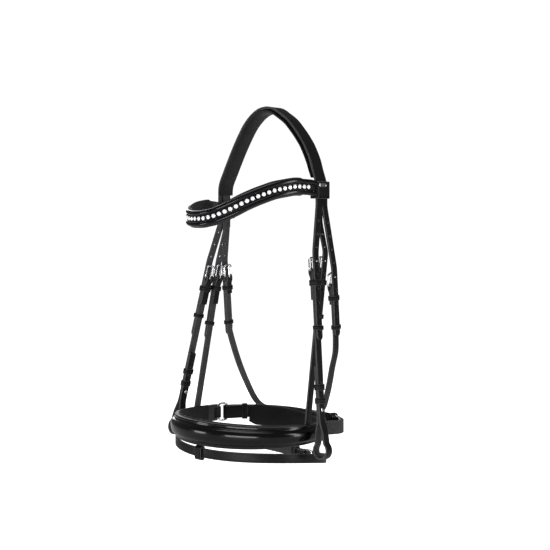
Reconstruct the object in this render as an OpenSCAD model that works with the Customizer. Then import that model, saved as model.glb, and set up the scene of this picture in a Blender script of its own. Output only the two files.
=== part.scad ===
// Snaffle bridle headpiece, without bit and reins, hanging by its crown.
// Z is up, the horse faces -Y and its left side is +X. The origin is the
// underside of the crown padding at the poll. All sizes in millimetres.

/* [Crown] */
// Width of the crown strap over the poll
crown_w = 25; // [20:0.5:36]
// Thickness of the crown leather
crown_t = 3.0; // [2:0.1:5]
// Width of the crown padding at the poll
crown_pad_w = 31; // [26:1:50]
// Thickness of the crown padding
crown_pad_t = 4.6; // [2:0.2:12]
// Width of the sliphead that carries the noseband
sliphead_w = 12; // [8:0.5:16]

/* [Straps] */
// Width of the cheek billets and cheekpieces
cheek_w = 13; // [10:0.5:20]
// Width of the noseband hangers and their billets
hanger_w = 12; // [8:0.5:18]
// Width of the throatlash
throat_w = 12; // [8:0.5:18]
// Thickness of the hanging straps
strap_t = 2.6; // [1.6:0.1:4]
// Thickness of the punched billets
billet_t = 2.8; // [1.6:0.1:4]
// Distance between punched holes
hole_pitch = 19; // [15:0.5:26]
// Diameter of the punched holes
hole_d = 3.8; // [2.5:0.1:6]

/* [Buckles] */
// Height of the left cheek and noseband buckles
left_buckle_z = -223; // [-260:1:-200]
// Height of the right cheek and noseband buckles
right_buckle_z = -240; // [-260:1:-200]
// Height of the left throatlash buckle
left_throat_z = -246; // [-260:1:-200]
// Height of the right throatlash buckle
right_throat_z = -240; // [-260:1:-200]
// Wire diameter of the buckle frames
wire_d = 2.4; // [2:0.1:4]
// Length of a buckle frame between its two bars
frame_l = 17; // [12:0.5:26]

/* [Browband] */
// Height of the browband leather
brow_h = 22; // [14:1:36]
// Height of the loops round the crown
brow_loop_h = 24; // [14:1:36]
// Number of crystals along the browband
crystal_n = 41; // [0:1:60]
// Diameter of one crystal
crystal_d = 5.4; // [3:0.1:8]

/* [Noseband] */
// Half width of the noseband ring
nose_rx = 106; // [80:1:130]
// Half length of the noseband ring
nose_ry = 104; // [80:1:130]
// Height of the nosepiece at the front
nose_h = 32.5; // [20:0.5:50]
// Height of the nosepiece at its ends
nose_end_h = 24.5; // [16:0.5:40]
// Width of the jaw strap
jaw_w = 19.5; // [12:0.5:28]
// Height of the jaw pad
jaw_pad_h = 32; // [24:1:60]
// Width of the flash strap
flash_w = 13; // [8:0.5:20]

/* [Hidden] */
$fn = 24;

black = [0.05, 0.05, 0.055];
pad_black = [0.10, 0.10, 0.11];
steel = [0.78, 0.79, 0.81];
crystal = [0.90, 0.93, 0.97];

// ---------- vectors, curves and frames ----------
function unit(v) = v / norm(v);
function mid(a, b, f) = a + (b - a) * f;
// Point on a smooth curve through the list p, f from 0 at p[i] to 1 at p[i+1]
function smooth(p, i, f) =
  let (n = len(p) - 1, a = p[max(i - 1, 0)], b = p[i], c = p[i + 1],
    d = p[min(i + 2, n)])
  0.5 * (2 * b + (c - a) * f + (2 * a - 5 * b + 4 * c - d) * f * f
    + (3 * b - a - 3 * c + d) * f * f * f);
function curve(p, k) = concat(
  [for (i = [0:len(p) - 2]) for (j = [0:k - 1]) smooth(p, i, j / k)],
  [p[len(p) - 1]]);
function tangent(p, i) =
  unit(p[min(i + 1, len(p) - 1)] - p[max(i - 1, 0)]);
// Matrix whose X runs along t, Z along the outward side o and origin at p
function frame(p, t, o) =
  let (x = unit(t), y = unit(cross(o, x)), z = cross(x, y))
  [[x[0], y[0], z[0], p[0]], [x[1], y[1], z[1], p[1]],
   [x[2], y[2], z[2], p[2]], [0, 0, 0, 1]];
function at(m, q) = [for (r = [0:2])
  m[r][0] * q[0] + m[r][1] * q[1] + m[r][2] * q[2] + m[r][3]];

// Flat polygon of a band of thickness t whose centre follows the path p
function side_of(p, i) = let (t = tangent(p, i)) [-t[1], t[0]];
function band(p, t) = concat(
  [for (i = [0:len(p) - 1]) p[i] + side_of(p, i) * t / 2],
  [for (i = [len(p) - 1:-1:0]) p[i] - side_of(p, i) * t / 2]);
function arc(c, r, a, b, n) =
  [for (i = [0:n]) let (g = a + (b - a) * i / n) c + r * [cos(g), sin(g)]];

// Solid skinned over a row of closed sections
module skin(s) {
  n = len(s[0]);
  m = len(s);
  polyhedron([for (q = s) each q],
    concat(
      [for (i = [0:m - 2]) for (j = [0:n - 1])
        let (k = (j + 1) % n, a = i * n, b = a + n)
        each [[a + j, b + k, b + j], [a + j, a + k, b + k]]],
      [[for (j = [n - 1:-1:0]) j], [for (j = [0:n - 1]) (m - 1) * n + j]]));
}
// Sections of the shape q ([up, out] points) along p with up direction w(i)
function stations(p, w, q) = [for (i = [0:len(p) - 1])
  let (t = tangent(p, i), o = unit(cross(t, w[i])), u = cross(o, t))
  [for (e = q[i]) p[i] + u * e[0] + o * e[1]]];
// Strap section with eased edges, w wide and from a to b outward
function slab(w, a, b, e = 0.5) = [[-w / 2, a + e], [-w / 2, b - e],
  [-w / 2 + e, b], [w / 2 - e, b], [w / 2, b - e], [w / 2, a + e],
  [w / 2 - e, a], [-w / 2 + e, a]];

// ---------- small parts shared by all straps ----------
// Strap end seen flat: l long, w wide, rounded at +X
module tongue_end(l, w, t) {
  translate([0, 0, -t / 2]) linear_extrude(t) union() {
    translate([0, -w / 2]) square([l - w / 2, w]);
    translate([l - w / 2, 0]) circle(d = w, $fn = 48);
  }
}
module hole(x, d = hole_d, l = 12) translate([x, 0, -l / 2]) cylinder(d = d, h = l);

// Wire rectangle: two bars h high along Z at x = 0 and x = l, and two joining them
module wire_ring(l, h, d) {
  for (x = [0, l]) {
    translate([x, 0, -h / 2]) cylinder(d = d, h = h);
    for (s = [-1, 1]) translate([x, 0, s * h / 2]) sphere(d = d);
  }
  for (s = [-1, 1]) translate([0, 0, s * h / 2]) rotate([0, 90, 0]) cylinder(d = d, h = l);
}
// The same as a buckle frame: bars along Y at x = 0 and x = -l, level z
module wire_frame(w, l, d, z)
  translate([-l, 0, z]) rotate([-90, 0, 0]) wire_ring(l, w + 0.4 + d, d);
// Tongue on the bar at the origin, with a peg that stands out through a hole
peg_x = -12.6;
module prong(z, d, out) {
  difference() {
    union() {
      translate([0, -1.7, z]) rotate([-90, 0, 0]) cylinder(r = d / 2 + 1.25, h = 3.4);
      translate([-frame_l - 1.6, -1.1, z - d / 2 - 1.25]) cube([frame_l, 2.2, 1.2]);
      translate([peg_x, 0, z - d / 2 - 0.6]) cylinder(r = 1.1, h = out - z + d / 2 + 0.6);
    }
    translate([0, -3, z]) rotate([-90, 0, 0]) cylinder(r = d / 2 + 0.05, h = 6);
  }
}
// Flat keeper band round two plies: inside from a to b outward
module keeper(x, w, a, b, l, wall = 1.5) {
  translate([x, 0, 0]) difference() {
    translate([-l / 2, -w / 2 - 0.3 - wall, a - wall])
      cube([l, w + 0.6 + 2 * wall, b - a + 2 * wall]);
    translate([-l, -w / 2 - 0.3, a]) cube([2 * l, w + 0.6, b - a]);
  }
}

// ---------- where the straps hang, seen on the left side ----------
bar_z = -(strap_t / 2 + 0.1 + wire_d / 2);  // bar level inside the outer ply
billet_z = strap_t / 2 + 0.25 + billet_t / 2; // billet level outside it
ply_z = -(strap_t + 0.15);                  // stitched return ply
flex_x = -frame_l - 7;                      // where a billet bends

function bit_pt(z) = [135, z == left_buckle_z ? -51 : -63, -471];
function cheek_at(z) = [101, -27, z];
function cheek_m(z) = frame(cheek_at(z), bit_pt(z) - cheek_at(z), [1, 0, 0]);
function cheek_l(z) = norm(bit_pt(z) - cheek_at(z));
nose_pt = [104.4, -50, -450];
function hanger_at(z) = [99, -7.5, z];
function hanger_m(z) = frame(hanger_at(z), nose_pt - hanger_at(z), [1, 0, 0]);
function hanger_l(z) = norm(nose_pt - hanger_at(z));
function throat_at(z) = [101, 15.5, z];
throat_dir = [0, 0.08, -1];
function throat_m(z) = frame(throat_at(z), throat_dir, [1, 0, 0]);

// Centre of the crown stack from the poll down the left side
leg_x = 88.6;
arch = [[0, 5], [12, 3.2], [24, -3], [37, -14.5], [47.5, -28.5], [59.5, -48],
  [71, -69], [79, -84.5], [84.2, -94.5], [87.2, -102], [88.5, -109], [leg_x, -124],
  [leg_x, -140]];
// The left side stands rounder than the right one
near_arch = [[0, 5], [12, 2.6], [24, -4.5], [38, -14.5], [51, -28.5], [59, -38.5],
  [67, -50], [76.5, -69], [81.5, -84.5], [85, -94.5], [87.4, -102], [88.5, -109],
  [leg_x, -124], [leg_x, -140]];
half_arch = curve(arch, 3);
near_half = curve(near_arch, 3);
function leg(p, k) = [for (i = [0:k]) p[i]];
function to(p, z) = concat(p, [[leg_x, z]]);
// The whole arch from a right half and a left half
function full(h, g) = concat([for (i = [len(h) - 1:-1:1]) [-h[i][0], h[i][1]]], g);
function shifted(p, d) = [for (i = [0:len(p) - 1]) p[i] + side_of(p, i) * d];
// Upright slab that follows the arch, w wide along Y, d outward of its centre
module arched(h, g, d, t, w) {
  rotate([90, 0, 0]) linear_extrude(w, center = true)
    polygon(band(shifted(full(h, g), d), t));
}
crown_d = 2.1 + crown_t / 2;
slip_d = 0.35;

// ---------- crown, sliphead and billets ----------
// Punched billet from a down to the bend above a buckle frame m
module billet(a, m, w, t, dz = 0, holes = 3) {
  b = at(m, [flex_x - 1, 0, billet_z]);
  f = frame(a, b - a, [1, 0, 0]);
  l = norm(b - a);
  multmatrix(f) difference() {
    translate([-2, -w / 2, -t / 2]) cube([l + 2, w, t]);
    for (i = [0:holes - 1]) hole(l - (hole_pitch + peg_x - flex_x) - i * hole_pitch);
  }
}
module side_billets(cz, tz, z, n) {
  x = leg_x + crown_d;
  billet([x, -crown_w / 4 - 0.3, z], cheek_m(cz), crown_w / 2 - 0.4, billet_t, holes = n);
  billet([x, crown_w / 4 + 0.3, z], throat_m(tz), crown_w / 2 - 0.4, billet_t, holes = n);
}
module crown_strap() color(black) union() {
  arched(to(half_arch, -164), near_half, crown_d, crown_t, crown_w);
  side_billets(left_buckle_z, left_throat_z, -134, 3);
  mirror([1, 0, 0]) side_billets(right_buckle_z, right_throat_z, -158, 1);
}
module sliphead() color(black) union() {
  arched(to(half_arch, -173), to(near_half, -159), slip_d, 2.3, sliphead_w);
  billet([leg_x + slip_d, 0, -156], hanger_m(left_buckle_z), hanger_w, 2.3, holes = 1);
  mirror([1, 0, 0])
    billet([leg_x + slip_d, 0, -170], hanger_m(right_buckle_z), hanger_w, 2.3, holes = 1);
}
module crown_padding() {
  h = full(leg(half_arch, 32), leg(near_half, 27));
  p = [for (q = h) [q[0], 0, q[1]]];
  m = len(p) - 1;
  color(pad_black) skin(stations(p, [for (q = p) [0, 1, 0]],
    [for (i = [0:m])
      let (c = 1 - abs(2 * i / m - 1), e = min(1, 0.35 + 4 * c),
        w = (crown_w + 3) + (crown_pad_w - crown_w - 3) * pow(c, 2))
      slab(w, -0.5 - crown_pad_t * e, -1.0, min(1.4, crown_pad_t * e / 3))]));
}

// ---------- browband ----------
brow_rx = 92;
brow_ry = 142;
function brow_z(a) = lookup(a, [[-90, -139.5], [-80, -137], [-72, -136], [-60, -139],
  [-45, -144.5], [-37, -147], [-28, -149.6], [-14, -152], [0, -152], [11, -148.8], [20, -143],
  [27.6, -136.8], [35, -129.5], [43, -122.6], [55, -113.6], [69, -108],
  [80, -108.6], [90, -112]]);
function brow_p(a) = [brow_rx * sin(a), -brow_ry * cos(a), brow_z(a)];
brow_a = [for (i = [-28:28]) i * 3];
brow_path = [for (a = brow_a) brow_p(a)];
brow_up = [for (a = brow_a) [0, 0, 1]];
module brow_sweep(q) skin(stations(brow_path, brow_up, [for (a = brow_a) q]));
module brow_loop(s) mirror([s < 0 ? 1 : 0, 0, 0])
  translate([89.7, 0, (s < 0 ? -139.5 : -112) - brow_loop_h / 2]) difference() {
    linear_extrude(brow_loop_h) square([14.4, 31], center = true);
    translate([0, 0, -1]) linear_extrude(brow_loop_h + 2)
      square([11.2, 26.6], center = true);
  }
module browband_leather() color(black) union() {
  brow_sweep(slab(brow_h, -1.3, 1.3, 0.4));
  for (s = [-1, 1]) brow_loop(s);
}
module browband_padding() color(pad_black)
  skin(stations([for (i = [2:54]) brow_path[i]], [for (i = [2:54]) [0, 0, 1]],
    [for (i = [2:54]) slab(brow_h + 3, -5.6, -1.8, 1.3)]));
// Rolled leather rims above and below the crystal channel
rim = [[-3.4, 1.6], [-3.4, 2.6], [-2.2, 3.8], [0, 4.4], [2.2, 3.8], [3.4, 2.6],
  [3.4, 1.6]];
rim_a = [for (a = brow_a) max(-82.6, min(82.6, a))];
module browband_rims() color(black) for (s = [-1, 1])
  skin(stations([for (a = rim_a) brow_p(a)], brow_up,
    [for (a = rim_a) [for (q = rim) [q[0] + s * (brow_h / 2 - 3.6), q[1]]]]));
// Arc length along the browband against the angle
brow_len = [for (i = 0, s = 0; i <= 85; i = i + 1, s = s + norm(brow_p(i) - brow_p(i - 1)))
  [s, i]];
crystal_pitch = 2 * lookup(78, [for (q = brow_len) [q[1], q[0]]]) / (crystal_n - 1);
module each_crystal() for (i = [0:crystal_n - 1]) {
  s = (i - (crystal_n - 1) / 2) * crystal_pitch;
  a = (s < 0 ? -1 : 1) * lookup(abs(s), brow_len);
  t = unit(brow_p(a + 0.5) - brow_p(a - 0.5));
  multmatrix(frame(brow_p(a), t, cross(t, [0, 0, 1]))) children();
}
module crystal_cups() color(steel) each_crystal() difference() {
  translate([0, 0, 1.4]) cylinder(d = crystal_d + 0.8, h = 2.2, $fn = 20);
  translate([0, 0, 2.4]) cylinder(d = crystal_d + 0.1, h = 3, $fn = 20);
}
module crystals() color(crystal) each_crystal() {
  translate([0, 0, 2.45]) cylinder(d = crystal_d, h = 1.2, $fn = 8);
  translate([0, 0, 3.65]) cylinder(d1 = crystal_d, d2 = crystal_d * 0.55, h = 1.3, $fn = 8);
}
module browband_badge() color(steel) translate([96.95, -4, -105.5])
  rotate([90, 0, 90]) linear_extrude(1.4) union() {
    square([11, 5], center = true);
    for (s = [-1, 1]) translate([s * 5.5, 0]) circle(d = 5);
  }

// ---------- cheekpieces ----------
loop_r = 10.8;
// Side view of a cheekpiece: return ply, buckle fold, outer ply, bit loop, return ply
function fold_top() = concat([[40, ply_z], [24, ply_z], [9, ply_z - 0.3],
  [5, bar_z - 2.45]],
  arc([0, bar_z], strap_t / 2 + wire_d / 2 + 0.1, -90, -270, 10));
function cheek_path(l) = concat(fold_top(), [[8, 0], [l - 56, 0], [l - 48, 0.4],
  [l - 34, 4.2]],
  arc([l - loop_r, -1.4], loop_r, 140, 0, 10), arc([l - loop_r, -1.4], loop_r, -14, -140, 9),
  [[l - 34, -7], [l - 48, ply_z - 0.4], [l - 56, ply_z], [l - 122, ply_z]]);
module crew_slot() translate([-8, -1.9, -12]) cube([13, 3.8, 24]);
module cheek_strap(z) {
  l = cheek_l(z);
  color(black) multmatrix(cheek_m(z)) difference() {
    rotate([90, 0, 0]) linear_extrude(cheek_w, center = true)
      polygon(band(cheek_path(l), strap_t));
    crew_slot();
    for (i = [0:3]) hole(l - 64 - i * 12, 2.6, 16);
  }
}
// Billet tip below the bend, as long as its holes need
module billet_tip(m, w, t, l, holes = 4) color(black) multmatrix(m)
  translate([0, 0, billet_z]) difference() {
    translate([flex_x + 1.1, 0, 0]) tongue_end(l, w, t);
    for (i = [0:holes - 1]) hole(peg_x + i * hole_pitch, i == 0 ? 4.6 : hole_d);
  }
module buckle_frame(m, w) color(steel) multmatrix(m) wire_frame(w, frame_l, wire_d, bar_z);
module buckle_tongue(m) color(steel) multmatrix(m)
  prong(bar_z, wire_d, billet_z + billet_t / 2 + 0.2);
module fixed_keeper(m, w, x, l = 7) color(black) multmatrix(m)
  keeper(x, w, ply_z - strap_t / 2 - 0.25, billet_z + billet_t / 2 + 0.15, l, 1.2);
module running_keeper(m, w, x, l = 6) color(black) multmatrix(m)
  keeper(x, w, -strap_t / 2 - 0.3, billet_z + billet_t / 2 + 0.3, l, 1.2);
module cheek_keepers(z) {
  l = cheek_l(z);
  color(black) multmatrix(cheek_m(z)) union() {
    keeper(17, cheek_w, ply_z - strap_t / 2 - 0.25, billet_z + billet_t / 2 + 0.15, 8, 1.2);
    for (x = [l - 76, l - 94])
      keeper(x, cheek_w, ply_z - strap_t / 2 - 0.25, strap_t / 2 + 0.2, 8, 1.2);
  }
}
// Hook stud through both plies of the bit loop, its head on the inside
module hook_stud(z) {
  l = cheek_l(z);
  color(steel) multmatrix(cheek_m(z)) translate([l - 64, 0, 0]) union() {
    translate([0, 0, ply_z - strap_t / 2 - 1.6]) cylinder(d = 2.4, h = strap_t * 2 + 2.6);
    translate([-1, 0, ply_z - strap_t / 2 - 2.4]) cylinder(d = 5.6, h = 1.8);
    translate([0, 0, strap_t / 2 + 0.02]) cylinder(d = 5, h = 0.9);
  }
}
module left_cheek_strap() cheek_strap(left_buckle_z);
module left_cheek_frame() buckle_frame(cheek_m(left_buckle_z), cheek_w);
module left_cheek_tongue() buckle_tongue(cheek_m(left_buckle_z));
module left_cheek_billet_tip() billet_tip(cheek_m(left_buckle_z), cheek_w - 0.7, billet_t, 118);
module left_cheek_fixed_keepers() cheek_keepers(left_buckle_z);
module left_cheek_running_keeper() running_keeper(cheek_m(left_buckle_z), cheek_w, 78);
module left_cheek_hook_stud() hook_stud(left_buckle_z);
module right_cheek_strap() mirror([1, 0, 0]) cheek_strap(right_buckle_z);
module right_cheek_frame() mirror([1, 0, 0]) buckle_frame(cheek_m(right_buckle_z), cheek_w);
module right_cheek_tongue() mirror([1, 0, 0]) buckle_tongue(cheek_m(right_buckle_z));
module right_cheek_billet_tip() mirror([1, 0, 0])
  billet_tip(cheek_m(right_buckle_z), cheek_w - 0.7, billet_t, 112);
module right_cheek_fixed_keepers() mirror([1, 0, 0]) cheek_keepers(right_buckle_z);
module right_cheek_running_keeper() mirror([1, 0, 0])
  running_keeper(cheek_m(right_buckle_z), cheek_w, 58);
module right_cheek_hook_stud() mirror([1, 0, 0]) hook_stud(right_buckle_z);

// ---------- noseband hangers ----------
module hanger_strap(z) color(black) multmatrix(hanger_m(z)) difference() {
  rotate([90, 0, 0]) linear_extrude(hanger_w, center = true)
    polygon(band(concat(fold_top(), [[8, 0], [60, 0], [hanger_l(z), 0]]), strap_t));
  crew_slot();
}
module left_hanger_strap() hanger_strap(left_buckle_z);
module left_hanger_frame() buckle_frame(hanger_m(left_buckle_z), hanger_w);
module left_hanger_tongue() buckle_tongue(hanger_m(left_buckle_z));
module left_hanger_billet_tip() billet_tip(hanger_m(left_buckle_z), hanger_w - 0.6, 2.3, 112);
module left_hanger_fixed_keeper() fixed_keeper(hanger_m(left_buckle_z), hanger_w, 17);
module left_hanger_running_keeper() running_keeper(hanger_m(left_buckle_z), hanger_w, 64);
module right_hanger_strap() mirror([1, 0, 0]) hanger_strap(right_buckle_z);
module right_hanger_frame() mirror([1, 0, 0]) buckle_frame(hanger_m(right_buckle_z), hanger_w);
module right_hanger_tongue() mirror([1, 0, 0]) buckle_tongue(hanger_m(right_buckle_z));
module right_hanger_billet_tip() mirror([1, 0, 0])
  billet_tip(hanger_m(right_buckle_z), hanger_w - 0.6, 2.3, 116);
module right_hanger_fixed_keeper() mirror([1, 0, 0])
  fixed_keeper(hanger_m(right_buckle_z), hanger_w, 17);
module right_hanger_running_keeper() mirror([1, 0, 0])
  running_keeper(hanger_m(right_buckle_z), hanger_w, 70);

// ---------- noseband ----------
nose_y = -44;
nose_bottom = -455.5;
// Point on the ring, a degrees from the front towards the left, d outward
function ring_n(a) = unit([sin(a) * nose_ry, -cos(a) * nose_rx]);
function ring_p(a, d = 0) = [nose_rx * sin(a), nose_y - nose_ry * cos(a)] + ring_n(a) * d;
function nose_height(a) = nose_end_h + (nose_h - nose_end_h) * pow(max(0, cos(a * 0.9)), 1.5);
nose_end = 110;
nose_a = [for (i = [-22:22]) i * nose_end / 22];
nose_path = [for (a = nose_a) [ring_p(a)[0], ring_p(a)[1], nose_bottom + nose_height(a) / 2]];
nose_up = [for (a = nose_a) [0, 0, 1]];
// Raised and rolled face of the nosepiece, as shares of half height and depth
roll = [[-1, -2.9], [-1, 2.0], [-0.86, 2.4], [-0.74, 2.4], [-0.66, 5.0], [-0.48, 7.2],
  [-0.2, 8.3], [0.1, 8.5], [0.38, 7.6], [0.56, 5.6], [0.64, 2.6], [0.84, 2.4],
  [1, 2.0], [1, -2.9]];
module nosepiece() color(black) difference() {
  union() {
    skin(stations(nose_path, nose_up, [for (a = nose_a)
      let (f = min(1, 0.45 + (nose_end - abs(a)) / 16))
      [for (q = roll) [q[0] * nose_height(a) / 2, q[1] < 0 ? q[1] : q[1] * f]]]));
    for (s = [-1, 1]) mirror([s < 0 ? 1 : 0, 0, 0]) multmatrix(ring_m)
      translate([0, 0, -8.5]) cylinder(d = 7.4, h = 17);
  }
  for (s = [-1, 1]) mirror([s < 0 ? 1 : 0, 0, 0]) {
    z = s < 0 ? right_buckle_z : left_buckle_z;
    multmatrix(hanger_m(z)) translate([hanger_l(z) - 60, -hanger_w / 2 - 0.2, -strap_t / 2 - 0.1])
      cube([60.4, hanger_w + 0.4, strap_t + 0.2]);
    multmatrix(ring_m) translate([0, 0, -15]) cylinder(r = 1.85, h = 30);
  }
}
module nosepiece_padding() color(pad_black) {
  k = [for (i = [2:42]) i];
  skin(stations([for (i = k) nose_path[i]], [for (i = k) [0, 0, 1]],
    [for (i = k) let (e = min(1, 0.5 + min(i - 2, 42 - i) / 6))
      slab(nose_height(nose_a[i]) + 2.4, -3.1 - 5.4 * e, -3.5, 1.3 * e)]));
}
// Rings at the ends of the nosepiece, hinged on its end folds
ring_l = 13;
ring_h = 25;
hinge_a = 111.9;
ring_m = let (p = ring_p(hinge_a), q = ring_p(hinge_a + 1))
  frame([p[0], p[1], nose_bottom + nose_end_h / 2],
    [q[0] - p[0], q[1] - p[1], 0], [0, 0, 1]);
module nose_ring() color(steel) multmatrix(ring_m) wire_ring(ring_l, ring_h, 3.6);
module left_nose_ring() nose_ring();
module right_nose_ring() mirror([1, 0, 0]) nose_ring();

// Jaw strap seen from above: inside return on the right, round the back, and
// through the left ring to a tail on the outside that ends at the jaw buckle
jaw_z = -443.8;
fold_r = 4.6;
bar_c = let (p = at(ring_m, [ring_l, 0, 0])) [p[0], p[1]];
bar_t = [ring_m[0][0], ring_m[1][0]];
bar_n = [bar_t[1], -bar_t[0]];
// Half circle round the back bar of the left ring, inside to outside
wrap = [for (g = [-90:20:90]) bar_c + fold_r * (bar_n * sin(g) - bar_t * cos(g))];
function other(p) = [for (q = p) [-q[0], q[1]]];
function turned(p) = [for (i = [len(p) - 1:-1:0]) p[i]];
function ply(a, d) = [for (i = [0:len(a) - 1]) ring_p(a[i], d[i])];
jaw_at = [88, 42, jaw_z];
jaw_m = frame(jaw_at, [-0.82, 0.57, 0], [0.57, 0.82, 0]);
function jaw_xy(q) = let (p = at(jaw_m, [q[0], 0, q[1]])) [p[0], p[1]];
jaw_path = concat(
  other(ply([136, 130, 125], [-3, -3.1, -4.1])), other(wrap),
  other(ply([125, 130, 136, 142], [4.2, 2.6, 0.9, 0.1])),
  [for (a = [212:-4:144]) ring_p(a)], ply([138, 131, 125], [-0.6, -2.4, -4.2]),
  [for (i = [0:8]) wrap[i]],
  curve([wrap[9], [102.5, 16], [106.3, 25], jaw_xy([-18, billet_z])], 4),
  [jaw_xy([0, billet_z]), jaw_xy([30, billet_z])]);
module jaw_strap() color(black) difference() {
  translate([0, 0, jaw_z - jaw_w / 2]) linear_extrude(jaw_w) polygon(band(jaw_path, strap_t));
  multmatrix(jaw_m) hole(peg_x, 4.6, 14);
}
module jaw_pad() color(pad_black) {
  k = [for (a = [138:3:222]) a];
  p = [for (a = k) let (q = ring_p(a, 0)) [q[0], q[1], jaw_z - 4 - 10 * (222 - a) / 84]];
  skin(stations(p, [for (a = k) [0, 0, 1]], [for (a = k)
    let (e = min(1, 0.35 + min(a - 138, 222 - a) / 10))
    slab(jaw_pad_h * (0.55 + 0.45 * e), -2 - 6.4 * e, -1.7 - 0.14 * max(0, 146 - a), 1.4 * e)]));
}
module jaw_frame() color(steel) multmatrix(jaw_m) wire_frame(jaw_w, frame_l, wire_d, bar_z);
module jaw_tongue() buckle_tongue(jaw_m);
// Chape that carries the jaw buckle with its keeper, and the keeper on the right
module jaw_keepers() color(black) union() {
  difference() {
    translate([0, 0, jaw_z - jaw_w / 2]) linear_extrude(jaw_w) polygon(band(concat(
      [jaw_xy([24, ply_z]), jaw_xy([12, ply_z]), jaw_xy([5.5, bar_z - 2.4])],
      [for (q = arc([0, bar_z], strap_t / 2 + wire_d / 2 + 0.1, -90, -270, 10)) jaw_xy(q)],
      [jaw_xy([10, 0]), jaw_xy([26, -0.2]), ring_p(157, 6.7), ring_p(166, 3.1),
        ring_p(172, 3)]), strap_t));
    multmatrix(jaw_m) crew_slot();
  }
  multmatrix(jaw_m) keeper(17, jaw_w, ply_z - strap_t / 2 - 0.02, billet_z + strap_t / 2 + 0.3, 7);
  mirror([1, 0, 0]) multmatrix(let (p = ring_p(134)) frame([p[0], p[1], jaw_z],
    [-ring_n(134)[1], ring_n(134)[0], 0], [ring_n(134)[0], ring_n(134)[1], 0]))
    keeper(0, jaw_w, -5.2, 4.1, 8);
}

// ---------- flash ----------
flash_z = -478;
// Ring of the flash strap, which hangs lower at the back
function flash_p(a, d = 0) = let (p = ring_p(a, d + 0.6))
  [p[0], p[1], flash_z + 18.3 * cos(a) - 3 * sin(a) - 5 * cos(2 * a)];
flash_a = 172; // where the flash buckle sits
flash_m = let (p = flash_p(flash_a), q = flash_p(flash_a + 1))
  frame(p, q - p, [ring_n(flash_a)[0], ring_n(flash_a)[1], 0]);
function flash_xyz(x, z) = at(flash_m, [x, 0, z]);
// Hanging loop of leather under the front of the nosepiece
module flash_loop() color(black) translate([-6, 0, 0]) rotate([90, 0, 90])
  linear_extrude(12) polygon(band([[-144.7, -457.9], [-144.4, -460], [-144.4, -465],
    [-144.4, -470.6], [-145.4, -473.8], [-148, -474.8], [-150.6, -473.8], [-151.7, -470.6],
    [-151.7, -459], [-150.4, -457.1], [-146.3, -456.6]], 1.6));
module flash_strap() color(black) difference() {
  p = concat([for (q = concat([[26, ply_z], [12, ply_z], [5.5, bar_z - 2.4]],
      arc([0, bar_z], strap_t / 2 + wire_d / 2 + 0.1, -90, -270, 10),
      [[9, 0], [17, -0.9]])) flash_xyz(q[0], q[1])],
    [for (i = [0:64]) flash_p(flash_a + 14 + i * 329 / 64)],
    [for (q = [[-25, 0.2], [-18, billet_z - 0.2], [0, billet_z - 0.2], [34, billet_z - 0.2]])
      flash_xyz(q[0], q[1])]);
  skin(stations(p, [for (q = p) [0, 0, 1]], [for (q = p) slab(flash_w, -1.2, 1.2, 0.4)]));
  multmatrix(flash_m) {
    translate([-8, -1.9, -12]) cube([13, 3.8, 13.5]);
    hole(peg_x, 4.6);
  }
}
module flash_frame() buckle_frame(flash_m, flash_w);
module flash_tongue() buckle_tongue(flash_m);
module flash_keeper() color(black) multmatrix(flash_m)
  keeper(19, flash_w + 2, ply_z - strap_t / 2 - 0.9, billet_z + strap_t / 2 + 0.4, 7);

// ---------- throatlash ----------
function throat_top(z, s) = [for (x = [26, s - 16, s - 8, s]) at(throat_m(z), [x, 0, 0])];
throat_left = [[97, 26, -340], [87, 32, -363], [72, 45, -390],
  [55, 60, -414], [37, 72.5, -436]];
throat_right = [[97, 35, -366], [90, 46, -399], [76, 54, -430],
  [60, 60, -441], [38, 68, -448]];
function throat_fold(z) = [for (q = concat(fold_top(), [[9, 0]]))
  at(throat_m(z), [q[0], 0, q[1]])];
module throatlash_strap() color(black) difference() {
  rt = [for (q = concat(throat_top(right_throat_z, 86), throat_right)) [-q[0], q[1], q[2]]];
  rf = [for (q = throat_fold(right_throat_z)) [-q[0], q[1], q[2]]];
  p = concat(throat_fold(left_throat_z),
    curve(concat(throat_top(left_throat_z, 74), throat_left,
      [[12, 74.5, -449.5], [-14, 73, -451]], turned(rt)), 4),
    turned(rf));
  n = len(rf);
  up = [for (i = [0:len(p) - 1]) i < n || i >= len(p) - n ? [0, -1, -0.08] : [0, -1, 0]];
  skin(stations(p, up, [for (q = p) slab(throat_w, -strap_t / 2, strap_t / 2, 0.4)]));
  multmatrix(throat_m(left_throat_z)) crew_slot();
  mirror([1, 0, 0]) multmatrix(throat_m(right_throat_z)) crew_slot();
}
module left_throat_frame() buckle_frame(throat_m(left_throat_z), throat_w);
module left_throat_tongue() buckle_tongue(throat_m(left_throat_z));
module left_throat_billet_tip() billet_tip(throat_m(left_throat_z), throat_w - 0.4, billet_t, 94, 3);
module left_throat_running_keeper() running_keeper(throat_m(left_throat_z), throat_w, 58);
module right_throat_frame() mirror([1, 0, 0]) buckle_frame(throat_m(right_throat_z), throat_w);
module right_throat_tongue() mirror([1, 0, 0]) buckle_tongue(throat_m(right_throat_z));
module right_throat_billet_tip() mirror([1, 0, 0])
  billet_tip(throat_m(right_throat_z), throat_w - 0.4, billet_t, 112);
module right_throat_running_keeper() mirror([1, 0, 0])
  running_keeper(throat_m(right_throat_z), throat_w, 70);
module throatlash_fixed_keepers() {
  fixed_keeper(throat_m(left_throat_z), throat_w, 17);
  mirror([1, 0, 0]) fixed_keeper(throat_m(right_throat_z), throat_w, 17);
}

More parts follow.
